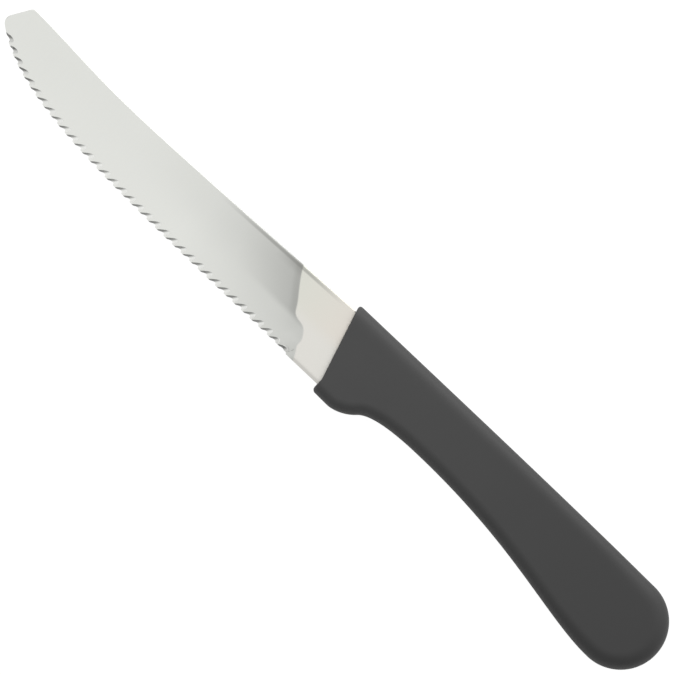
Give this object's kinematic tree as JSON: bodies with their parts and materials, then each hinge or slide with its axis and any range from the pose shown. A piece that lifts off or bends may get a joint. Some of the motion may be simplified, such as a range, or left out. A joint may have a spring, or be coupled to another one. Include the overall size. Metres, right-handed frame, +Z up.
{
  "type": "steak knife",
  "caption": "Serrated steak knife with a round-nosed stamped steel blade and a moulded dark plastic handle, lying flat.",
  "frame": {"origin": "on the surface that the knife lies on, under the middle of its length and of the handle's height", "axes": "+X from the handle to the blade's tip, +Y from the spine to the cutting edge, +Z up from the surface, on the face with the ground scallops"},
  "size_m": [0.2158, 0.0234, 0.0115],
  "materials": {
    "blade_steel": "ground satin stainless steel, brighter along the edge",
    "handle_plastic": "fine matte moulded texture, charcoal"
  },
  "bodies": {
    "root": {"blade": "blade_steel", "handle": "handle_plastic"}
  },
  "joints": []
}
